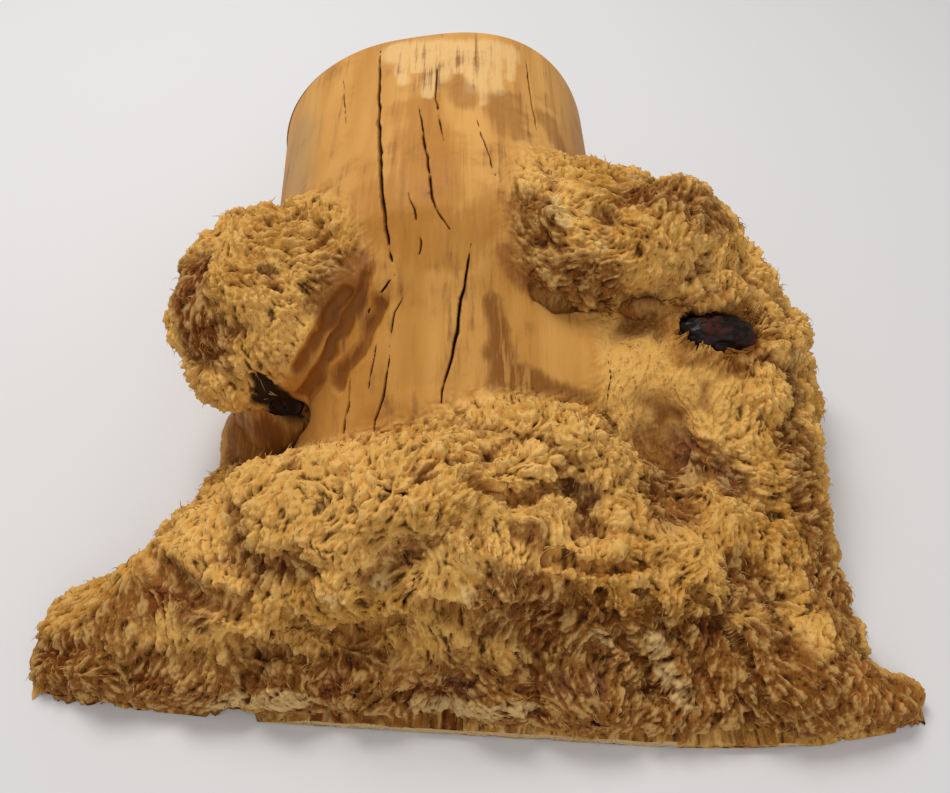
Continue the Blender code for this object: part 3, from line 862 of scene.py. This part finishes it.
def carve_skin(points, faces, carried, tree, lines):
    """The skin with all its relief, the values at its points that colour it, and how fibres lie."""
    normals, burl, inside = unit(carried[:, :3]), carried[:, 3], carried[:, 4]
    marks = mark_weights(points, tree)
    rough = held_down(burl, marks, LESS_BURL) * inside
    knob = np.minimum(seed_distance(points, KNOB_CELL, KNOB_SALT), 1)
    points = points + normals * coarse_relief(points, knob, rough, inside, marks)[:, None]
    normals = unit(softened(point_normals(points, faces), faces, SOFTENINGS))
    flow = fibre_flow(points, normals)
    moved, tip = fine_relief(points, normals, flow, rough, marks)
    points = points + moved
    crack, crack_shade = crack_depths(points, lines)
    points = saw_front(points - normals * crack[:, None], normals)
    looks = {
        "burl": rough,
        "tip": tip,
        "dip_tone_and_shade": smooth(knob, DIP_START, DIP_END) * rough,
        "crack": crack_shade,
        # Warm orange-brown from grooves, recesses and rust marks; in the grooves it is painted shade.
        "warm": np.maximum.reduce([GROOVE_WARMTH * marks["groove"], marks["recess"], marks["rust"]]),
    }
    looks.update({kind: marks[kind] for kind in SHOWN_MARKS})
    return in_box(sawn(points)), looks, flow


def cut_faces(points, faces):
    """Which faces lie on the base, on the front saw cut and on the stem's sawn end."""
    corners = points[faces]
    base = np.all(corners[:, :, 2] < FLAT, axis=1)
    front = np.all(corners[:, :, 1] - front_line(corners[:, :, 0]) < FLAT, axis=1)
    place, facing = back_plane()
    back = np.all((corners - place) @ facing > -FLAT, axis=1)
    return base, front & ~base, back & ~base


# Pieces

def make_piece(name, points, faces, normals, looks, material):
    """A piece of the skin as its own object, shaded with the whole skin's normals."""
    used, corners = np.unique(faces, return_inverse=True)
    corners = corners.reshape(-1, 3)
    mesh = bpy.data.meshes.new(name)
    mesh.vertices.add(len(used))
    mesh.vertices.foreach_set("co", (points[used] - ORIGIN_POINT).ravel())
    mesh.loops.add(corners.size)
    mesh.loops.foreach_set("vertex_index", corners.ravel())
    mesh.polygons.add(len(corners))
    mesh.polygons.foreach_set("loop_start", np.arange(len(corners)) * 3)
    mesh.update(calc_edges=True)
    for look, values in looks.items():
        attribute = mesh.attributes.new(look, "FLOAT", "POINT")
        attribute.data.foreach_set("value", values[used].astype(np.float32))
    mesh.polygons.foreach_set("use_smooth", np.ones(len(corners), dtype=bool))
    if normals is not None:
        mesh.normals_split_custom_set_from_vertices(normals[used].tolist())
    return place_piece(name, mesh, material)


def linked(name, data):
    """A new object in the scene that shows this data."""
    obj = bpy.data.objects.new(name, data)
    bpy.context.scene.collection.objects.link(obj)
    return obj


def place_piece(name, mesh, material):
    obj = linked(name, mesh)
    mesh.materials.append(material)
    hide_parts("burl_cap")
    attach(obj, "root")
    return obj


def region_of_faces(points, faces, burl):
    """The name of the region that each face belongs to."""
    middles = points[faces].mean(axis=1)
    regions = np.full(len(faces), "stem_skin", dtype=object)
    burly = burl[faces].mean(axis=1) > STEM_BURL
    for name, least_x, most_x, least_y, most_y in REGIONS:
        within = (middles[:, 0] >= least_x) & (middles[:, 0] < most_x)
        within &= (middles[:, 1] >= least_y) & (middles[:, 1] < most_y)
        regions[within & burly & (regions == "stem_skin")] = name
    return regions


def make_skin_pieces(points, faces, looks, wood, cut_materials):
    """The skin's regions and the three sawn faces, each as its own piece."""
    whole = np.linalg.norm(face_crosses(points, faces), axis=1) > NOTHING
    faces = faces[whole]
    base, front, back = cut_faces(points, faces)
    skin = faces[~(base | front | back)]
    normals = point_normals(points, skin)
    regions = region_of_faces(points, skin, looks["burl"])
    for region in sorted(set(regions)):
        make_piece(region, points, skin[regions == region], normals, looks, wood)
    for name, part in (("sawn_base", base), ("sawn_front", front), ("sawn_end", back)):
        make_piece(name, points, faces[part], None, looks, cut_materials[name])


def tube_faces(rings, sides):
    """The triangles of a thin tube with a closed tip, as numbers of its points."""
    pattern = []
    for ring in range(rings - 1):
        for k in range(sides):
            a, b = ring * sides + k, ring * sides + (k + 1) % sides
            pattern += [(a, b, b + sides), (a, b + sides, a + sides)]
    return pattern + [tuple(range((rings - 1) * sides, rings * sides))]


def make_fibres(points, looks, flow, normals, material):
    """Loose fibres that stand off the tufts: thin tapering hairs, each bent down the flow."""
    chance = np.random.default_rng(FIBRE_SEED)
    ready = (looks["burl"] > FIBRE_BURL) & (looks["tip"] > FIBRE_TIP) & (points[:, 2] > FIBRE_LOW)
    roots = chance.choice(np.flatnonzero(ready), FIBRE_COUNT, replace=False)
    length = chance.uniform(FIBRE_SHORT, FIBRE_LONG, FIBRE_COUNT)[:, None]
    stray = chance.normal(0, FIBRE_STRAY, (FIBRE_COUNT, 3))
    place, down, out = points[roots], flow[roots], normals[roots]
    start = unit(down * FIBRE_LIE + out * FIBRE_STAND + stray)
    bend = unit(down + stray * FIBRE_CURL - out * FIBRE_DROOP) - start
    across = unit(np.cross(start, out + stray))
    third = np.cross(start, across)
    verts = []
    for share in np.linspace(0, 1, FIBRE_RINGS):
        middle = place + length * (start * share + bend * 0.5 * share * share)
        middle -= out * FIBRE_ROOT * (1 - share)
        radius = FIBRE_RADIUS * (1 - FIBRE_TAPER * share)
        for k in range(FIBRE_SIDES):
            angle = 2 * math.pi * k / FIBRE_SIDES
            verts.append(middle + radius * (across * math.cos(angle) + third * math.sin(angle)))
    verts = in_box(np.stack(verts, axis=1).reshape(-1, 3))
    offsets = np.arange(FIBRE_COUNT)[:, None, None] * FIBRE_RINGS * FIBRE_SIDES
    faces = (np.array(tube_faces(FIBRE_RINGS, FIBRE_SIDES))[None] + offsets).reshape(-1, 3)
    make_piece("loose_fibres", verts, faces, None, {}, material)


def make_resin(tree, material):
    """The lump of dried gum, sunk in the wall of its pocket."""
    place = seen(tree, RESIN_PIXEL) + RESIN_SINK
    bm = bmesh.new()
    bmesh.ops.create_icosphere(bm, subdivisions=RESIN_FINENESS, radius=1)
    points = np.array([vert.co[:] for vert in bm.verts])
    faces = np.array([[vert.index for vert in face.verts] for face in bm.faces])
    bm.free()
    lumps = np.minimum(seed_distance(points, RESIN_LUMP_CELL, RESIN_LUMP_SALT), 1)
    swells = np.minimum(seed_distance(points, RESIN_SWELL_CELL, RESIN_SWELL_SALT), 1)
    full = RESIN_FULL - RESIN_LUMP * lumps**2 - RESIN_SWELL * swells**2
    make_piece("resin", points * full[:, None] * np.array(RESIN_RADII) + place, faces, None, {}, material)


# Materials

def add(tree, kind, values=None, **settings):
    """A node with these settings, and these values or links on its inputs."""
    node = tree.nodes.new(kind)
    for name, value in settings.items():
        setattr(node, name, value)
    for name, value in (values or {}).items():
        if isinstance(value, bpy.types.NodeSocket):
            tree.links.new(value, node.inputs[name])
        else:
            node.inputs[name].default_value = value
    return node


def mixed(tree, share, one, other):
    """One colour giving way to the other by this share."""
    node = tree.nodes.new("ShaderNodeMix")
    node.data_type = "RGBA"
    for index, value in ((0, share), (6, one), (7, other)):
        if isinstance(value, bpy.types.NodeSocket):
            tree.links.new(value, node.inputs[index])
        else:
            node.inputs[index].default_value = value
    return node.outputs[2]


def eased(tree, value, start, end, low=0.0, high=1.0):
    """The value taken from start..end to low..high, with an even ease."""
    node = add(
        tree, "ShaderNodeMapRange",
        {"Value": value, "From Min": start, "From Max": end, "To Min": low, "To Max": high},
        interpolation_type="SMOOTHSTEP",
    )
    return node.outputs["Result"]


def laid(tree, under, tone, value, start, end, most=1.0):
    """The tone laid over what is under it, as the value goes from start to end."""
    return mixed(tree, eased(tree, value, start, end, 0.0, most), under, tone)


def plus(tree, one, other):
    return add(tree, "ShaderNodeMath", {0: one, 1: other}, operation="ADD").outputs[0]


def times(tree, one, other):
    return add(tree, "ShaderNodeMath", {0: one, 1: other}, operation="MULTIPLY").outputs[0]


def about_zero(tree, value, most):
    """A noise from 0 to 1 moved to lie about zero, and made this much stronger."""
    middle = add(tree, "ShaderNodeMath", {0: value, 1: 0.5}, operation="SUBTRACT").outputs[0]
    return times(tree, middle, most)


def look(tree, name):
    return add(tree, "ShaderNodeAttribute", attribute_name=name).outputs["Fac"]


def noise(tree, place, scale, detail=4.0, roughness=0.6):
    node = add(
        tree, "ShaderNodeTexNoise",
        {"Vector": place, "Scale": scale, "Detail": detail, "Roughness": roughness},
    )
    return node.outputs["Fac"]


def stretched(tree, place, scale):
    """The place with each axis scaled on its own."""
    return add(tree, "ShaderNodeMapping", {"Vector": place, "Scale": scale}).outputs["Vector"]


def new_material(name):
    material = bpy.data.materials.new(name)
    material.use_nodes = True
    tree = material.node_tree
    place = add(tree, "ShaderNodeTexCoord").outputs["Object"]
    return material, tree, tree.nodes["Principled BSDF"], place


def dressed(tree, shader, tint, rough, height, strength, distance):
    """Puts the colour, the roughness and a fine bump on the shader."""
    tree.links.new(tint, shader.inputs["Base Color"])
    tree.links.new(rough, shader.inputs["Roughness"])
    bump = add(tree, "ShaderNodeBump", {"Height": height, "Strength": strength, "Distance": distance})
    tree.links.new(bump.outputs["Normal"], shader.inputs["Normal"])


def colour(red, green, blue):
    """A colour given as it shows on a screen, from 0 to 255."""
    out = []
    for value in (red, green, blue):
        share = value / 255
        out.append(share / 12.92 if share <= 0.04045 else ((share + 0.055) / 1.055) ** 2.4)
    return (*out, 1.0)


OCHRE = colour(192, 138, 60)
GOLDEN = colour(226, 174, 92)
BROWN = colour(136, 86, 33)
UMBER = colour(114, 56, 10)
# Near black brown laid in the burl's crevices: painted shade.
CREVICE_SHADE = colour(62, 29, 6)
# Pale gold laid on the burl's tips as a painted highlight, and as pale specks on loose fibres.
TIP_HIGHLIGHT_AND_PALE_SPECK = colour(240, 198, 122)
PURPLE_BROWN = colour(104, 60, 40)
ORANGE_BROWN = colour(150, 92, 36)
CREAM = colour(232, 200, 138)
STEM_PALE = colour(216, 161, 86)
STEM_DEEP = colour(186, 128, 54)
STEM_ORANGE = colour(172, 110, 36)
STEM_STAIN = colour(134, 82, 28)
STEM_GREY = colour(172, 140, 90)
STEM_TORN = colour(238, 200, 138)
BARK_BROWN = colour(116, 66, 20)
BLACK_BROWN = colour(26, 13, 7)
BLUE_BLACK = colour(30, 38, 52)
STRIP_GREY = colour(204, 172, 120)
END_TAN = colour(196, 158, 104)
END_DARK = colour(140, 98, 54)


def stem_colour(tree, place):
    """Bare wood: streaks along the grain, stains, torn bark and pale torn fibres."""
    streak = noise(tree, stretched(tree, place, (150, 7, 36)), 1.0, 5.0, 0.62)
    wide = noise(tree, stretched(tree, place, (38, 5, 12)), 1.0, 3.0, 0.55)
    cloud = noise(tree, place, 34.0, 5.0, 0.6)
    tint = laid(tree, STEM_PALE, STEM_DEEP, wide, 0.30, 0.72)
    tint = laid(tree, tint, STEM_ORANGE, cloud, 0.48, 0.75, 0.65)
    tint = laid(tree, tint, STEM_STAIN, streak, 0.52, 0.76, 0.50)
    fine = noise(tree, stretched(tree, place, (460, 12, 90)), 1.0, 3.0, 0.6)
    both = plus(tree, times(tree, streak, 0.45), times(tree, fine, 0.55))
    ragged = about_zero(tree, both, 2.6)
    blotch = about_zero(tree, cloud, 1.6)
    for name, tone, most in (
        ("amber", STEM_ORANGE, 0.60), ("grey", STEM_GREY, 0.60), ("torn", STEM_TORN, 0.60),
        ("stain", STEM_STAIN, 0.55),
        ("warm", ORANGE_BROWN, 0.75), ("umber", UMBER, 0.70), ("bark", BARK_BROWN, 0.78),
    ):
        edge = plus(tree, plus(tree, look(tree, name), blotch), ragged)
        tint = laid(tree, tint, tone, edge, 0.10, 1.00, most)
    flecks = times(tree, look(tree, "bark"), eased(tree, both, 0.50, 0.60))
    tint = mixed(tree, times(tree, flecks, 0.55), tint, STEM_PALE)
    return tint, streak


def burl_colour(tree, place):
    """Tufted burl: golden tips over brown crevices, with painted highlight on the tips and painted shade in
    the crevices, and bare, pale and dark places.
    """
    cloud = noise(tree, place, 26.0, 3.0, 0.55)
    hairs = noise(tree, stretched(tree, place, (980, 300, 300)), 1.0, 3.0, 0.65)
    dots = noise(tree, place, 520.0, 3.0, 0.7)
    speck = plus(tree, times(tree, dots, 0.45), times(tree, hairs, 0.55))
    patch = noise(tree, place, 90.0, 5.0, 0.65)
    ragged = about_zero(tree, patch, 1.8)
    tip, dip_tone_and_shade = look(tree, "tip"), look(tree, "dip_tone_and_shade")
    body = laid(tree, OCHRE, GOLDEN, cloud, 0.36, 0.64)
    body = laid(tree, body, BROWN, patch, 0.52, 0.72, 0.60)
    for name, tone, most in (("gold", GOLDEN, 0.75), ("umber", UMBER, 0.78), ("warm", ORANGE_BROWN, 0.7)):
        edge = plus(tree, look(tree, name), times(tree, ragged, 0.6))
        body = laid(tree, body, tone, edge, 0.10, 0.90, most)
    # Dips between knobs darkened towards umber: painted shade over brown tone.
    body = laid(tree, body, UMBER, dip_tone_and_shade, 0.35, 1.0, 0.85)
    body = laid(tree, body, PURPLE_BROWN, look(tree, "bare"), 0.20, 0.95, 0.60)
    body = laid(tree, body, UMBER, look(tree, "facet"), 0.20, 0.90, 0.80)
    # Tips and the highs of the fine speck go towards pale gold, a painted highlight; the crevices and the
    # speck's lows go towards near black brown, painted shade.
    lit = mixed(tree, 0.42, body, TIP_HIGHLIGHT_AND_PALE_SPECK)
    body = laid(tree, body, lit, tip, 0.52, 0.85)
    body = laid(tree, body, CREVICE_SHADE, tip, 0.46, 0.14, 0.90)
    body = laid(tree, body, lit, speck, 0.52, 0.66, 0.50)
    body = laid(tree, body, CREVICE_SHADE, speck, 0.47, 0.34, 0.50)
    chalk = plus(tree, look(tree, "pale"), ragged)
    chalk = times(tree, eased(tree, chalk, 0.35, 0.80), eased(tree, tip, 0.25, 0.55))
    body = mixed(tree, times(tree, chalk, 0.5), body, CREAM)
    return body, speck


def skin_material():
    """Bare stem and tufted burl in one material, so that one runs into the other."""
    material, tree, shader, place = new_material("burl_wood_skin")
    stem, streak = stem_colour(tree, place)
    burl, speck = burl_colour(tree, place)
    share = eased(tree, look(tree, "burl"), 0.12, 0.60)
    tint = mixed(tree, share, stem, burl)
    # Near black where dark marks lie: painted shade in the hollow under the left lump, and dark pits and
    # gum elsewhere.
    tint = laid(tree, tint, BLACK_BROWN, look(tree, "dark"), 0.3, 0.85, 0.97)
    tint = laid(tree, tint, BLUE_BLACK, look(tree, "blue"), 0.3, 0.85, 0.85)
    # Cracks and their edges go near black: painted shade.
    tint = laid(tree, tint, BLACK_BROWN, look(tree, "crack"), 0.30, 0.90, 0.92)
    shader.inputs["Specular IOR Level"].default_value = 0.15
    grain = add(tree, "ShaderNodeMix", {0: share, 2: streak, 3: speck}, data_type="FLOAT")
    rough = eased(tree, share, 0.0, 1.0, 0.55, 0.88)
    dressed(tree, shader, tint, rough, grain.outputs[0], 0.75, 0.0009)
    return material


def sawn_material(name, pale, deep, ring_scale, mark_scale, swirl):
    """A sawn face: growth rings or swirling figure, with faint saw marks across it."""
    material, tree, shader, place = new_material(name)
    centred = add(tree, "ShaderNodeMapping", {"Vector": place, "Location": ORIGIN - PITH}).outputs["Vector"]
    warp = add(
        tree, "ShaderNodeTexNoise", {"Vector": place, "Scale": 22.0, "Detail": 3.0},
    ).outputs["Color"]
    bent = add(
        tree, "ShaderNodeMix", {0: swirl, 4: centred, 5: warp}, data_type="VECTOR",
    ).outputs[1]
    rings = add(
        tree, "ShaderNodeTexWave",
        {"Vector": bent, "Scale": ring_scale, "Distortion": 3.0, "Detail": 3.0, "Detail Scale": 2.0},
        wave_type="RINGS", rings_direction="Y",
    ).outputs["Fac"]
    cloud = noise(tree, place, 30.0, 5.0, 0.6)
    marks = noise(tree, stretched(tree, place, (mark_scale, 6, 6)), 1.0, 2.0, 0.5)
    tint = laid(tree, pale, deep, rings, 0.25, 0.9, 0.38)
    tint = laid(tree, tint, deep, cloud, 0.45, 0.75, 0.6)
    tint = laid(tree, tint, pale, marks, 0.45, 0.75, 0.25)
    dressed(tree, shader, tint, eased(tree, cloud, 0.3, 0.7, 0.62, 0.82), marks, 0.5, 0.0005)
    return material


def resin_material():
    """Dried gum: near black, with a low shine and deep red in places."""
    material, tree, shader, place = new_material("resin")
    cloud = noise(tree, place, 160.0, 4.0, 0.6)
    tint = mixed(tree, eased(tree, cloud, 0.48, 0.66), colour(14, 5, 3), colour(62, 24, 12))
    shader.inputs["Specular IOR Level"].default_value = 0.22
    dressed(tree, shader, tint, eased(tree, cloud, 0.35, 0.65, 0.30, 0.65), cloud, 0.5, 0.0008)
    return material


def fibre_material():
    """Loose wood fibres, from golden to brown."""
    material, tree, shader, place = new_material("fibre")
    cloud = noise(tree, place, 60.0, 3.0, 0.6)
    speck = noise(tree, place, 500.0, 2.0, 0.6)
    tint = laid(tree, BROWN, OCHRE, cloud, 0.35, 0.65)
    tint = laid(tree, tint, TIP_HIGHLIGHT_AND_PALE_SPECK, speck, 0.50, 0.70, 0.7)
    tree.links.new(tint, shader.inputs["Base Color"])
    tree.links.new(eased(tree, speck, 0.3, 0.7, 0.65, 0.85), shader.inputs["Roughness"])
    return material


# Stage

def add_floor():
    bm = bmesh.new()
    bmesh.ops.create_grid(bm, x_segments=1, y_segments=1, size=FLOOR_HALF)
    mesh = bpy.data.meshes.new("floor")
    bm.to_mesh(mesh)
    bm.free()
    floor = linked("floor", mesh)
    floor.location.z = -FLOOR_DROP
    material, _, shader, _ = new_material("floor")
    shader.inputs["Base Color"].default_value = FLOOR_TINT
    shader.inputs["Roughness"].default_value = FLOOR_ROUGHNESS
    mesh.materials.append(material)


def add_light(name, place, size, power, tint):
    light = bpy.data.lights.new(name, "AREA")
    light.size = size
    light.energy = power
    light.color = tint
    obj = linked(name, light)
    obj.location = place
    aim = LIGHT_AIM - Vector(place)
    obj.rotation_euler = aim.to_track_quat("-Z", "Y").to_euler()


def add_lights():
    for light in LIGHTS:
        add_light(*light)
    world = bpy.data.worlds.new("studio")
    world.use_nodes = True
    background = world.node_tree.nodes["Background"]
    background.inputs["Color"].default_value = STUDIO_TINT
    background.inputs["Strength"].default_value = STUDIO_STRENGTH
    bpy.context.scene.world = world


def set_view():
    """Plain colours, so that the wood keeps the tones that its materials give."""
    bpy.context.scene.view_settings.view_transform = "Standard"


def add_camera():
    camera = bpy.data.cameras.new("camera")
    camera.sensor_width = SENSOR_WIDTH
    camera.lens = FOCAL_PIXELS / PHOTO_WIDTH * SENSOR_WIDTH
    camera.clip_start = CLIP_START
    obj = linked("camera", camera)
    obj.location = CAMERA_PLACE - ORIGIN
    obj.rotation_euler = (CAMERA_TILT, 0, 0)
    bpy.context.scene.camera = obj


def build():
    points, faces, carried, tree, lines = grow_skin()
    points, looks, flow = carve_skin(points, faces, carried, tree, lines)
    cut_materials = {
        "sawn_base": sawn_material("sawn_base", END_TAN, ORANGE_BROWN, 60.0, 900.0, 0.35),
        "sawn_front": sawn_material("sawn_front", STRIP_GREY, END_DARK, 60.0, 500.0, 0.35),
        "sawn_end": sawn_material("sawn_end", END_TAN, END_DARK, 90.0, 700.0, 0.02),
    }
    make_skin_pieces(points, faces, looks, skin_material(), cut_materials)
    make_fibres(points, looks, flow, point_normals(points, faces), fibre_material())
    make_resin(tree, resin_material())


build()
add_floor()
add_lights()
add_camera()
set_view()
